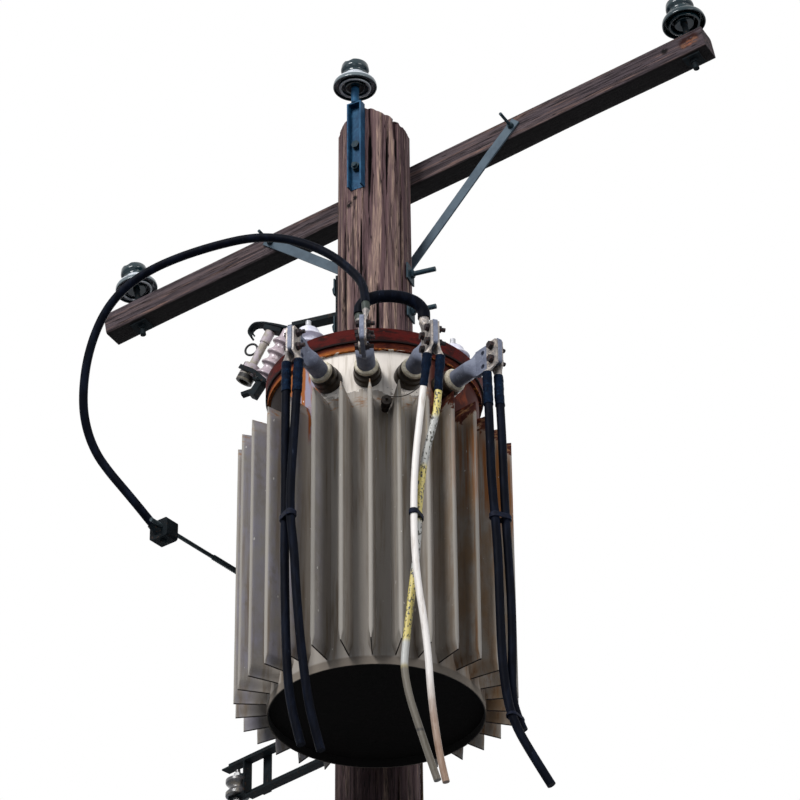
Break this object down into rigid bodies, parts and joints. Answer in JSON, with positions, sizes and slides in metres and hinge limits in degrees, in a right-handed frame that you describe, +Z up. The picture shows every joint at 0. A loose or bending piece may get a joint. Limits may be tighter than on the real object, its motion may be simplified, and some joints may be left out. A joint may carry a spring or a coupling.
{
  "type": "pole mounted transformer",
  "caption": "Wooden pole with a finned oil transformer hung from its front, a crossarm with pin insulators, a fused cutout and hanging low voltage leads.",
  "frame": {"origin": "centre of the pole's butt on the ground", "axes": "+Z up the pole; the tank hangs from the pole's -Y side"},
  "size_m": [1.9601, 1.7835, 8.9699],
  "materials": {
    "weathered_pole": "weathered pine, brushed grain, red-brown stain",
    "weathered_timber": "weathered sawn timber",
    "galvanised_steel": "galvanised steel, dull",
    "dark_steel": "weathered galvanised steel, nearly black",
    "porcelain": "grey glazed porcelain",
    "brown_porcelain": "dark brown glazed porcelain",
    "cutout_porcelain": "pinkish grey glazed porcelain",
    "dark_porcelain": "dark glazed porcelain, dirty",
    "tank_paint": "cream-grey paint on steel, dusty, rust at edges",
    "tank_bottom_paint": "sooty paint on steel",
    "lid_paint": "maroon rusted paint on steel",
    "rusted_band": "rusted steel",
    "brass": "brass gone brown",
    "cream_gasket": "cream moulded gasket",
    "tinned_metal": "tinned cast metal, dull",
    "terminal_steel": "plated steel, partly rusted",
    "heat_shrink": "dark blue heat-shrink tube",
    "fibre_tube": "painted fibre tube",
    "aluminium_wire": "weathered stranded aluminium",
    "copper_wire": "weathered copper",
    "black_plastic": "black nylon",
    "black_rubber": "black rubber insulation",
    "white_insulation": "white insulation, stained brown at the foot",
    "yellow_insulation": "yellow insulation, weathered, bare at the foot"
  },
  "bodies": {
    "root": {"arm_bolts": "galvanised_steel", "arm_insulators": "porcelain", "arm_pins": "galvanised_steel", "brace_bolts": "galvanised_steel", "bushing_collars": "cream_gasket", "cable_ties": "black_plastic", "crossarm": "weathered_timber", "crossarm_braces": "galvanised_steel", "cutout_bracket": "dark_steel", "cutout_contacts": "dark_steel", "cutout_insulator": "cutout_porcelain", "fins_left": "tank_paint", "fins_right": "tank_paint", "fuse_tube": "fibre_tube", "ground_clips": "galvanised_steel", "ground_wire": "copper_wire", "hv_bushings": "porcelain", "hv_fittings": "galvanised_steel", "jumper": "black_rubber", "lead_left_inner": "black_rubber", "lead_left_outer": "black_rubber", "lead_lugs": "tinned_metal", "lead_right_inner": "black_rubber", "lead_right_outer": "black_rubber", "lead_white": "white_insulation", "lead_yellow": "yellow_insulation", "lid_band": "rusted_band", "loop_cable": "black_rubber", "lower_bracket": "dark_steel", "lower_spool": "dark_porcelain", "lv_bushings": "brown_porcelain", "lv_terminals": "tinned_metal", "neutral_grip": "aluminium_wire", "neutral_wire": "aluminium_wire", "pole": "weathered_pole", "pole_top_bracket": "galvanised_steel", "pole_top_insulator": "porcelain", "relief_valve": "brass", "shrink_sleeves": "heat_shrink", "tank_bottom": "tank_bottom_paint", "tank_hangers": "tank_paint", "tank_lid": "lid_paint", "tank_wall": "tank_paint", "tap_connector": "dark_steel", "terminal_bolts": "terminal_steel", "through_bolts": "galvanised_steel", "upright_lugs": "tinned_metal"}
  },
  "joints": []
}
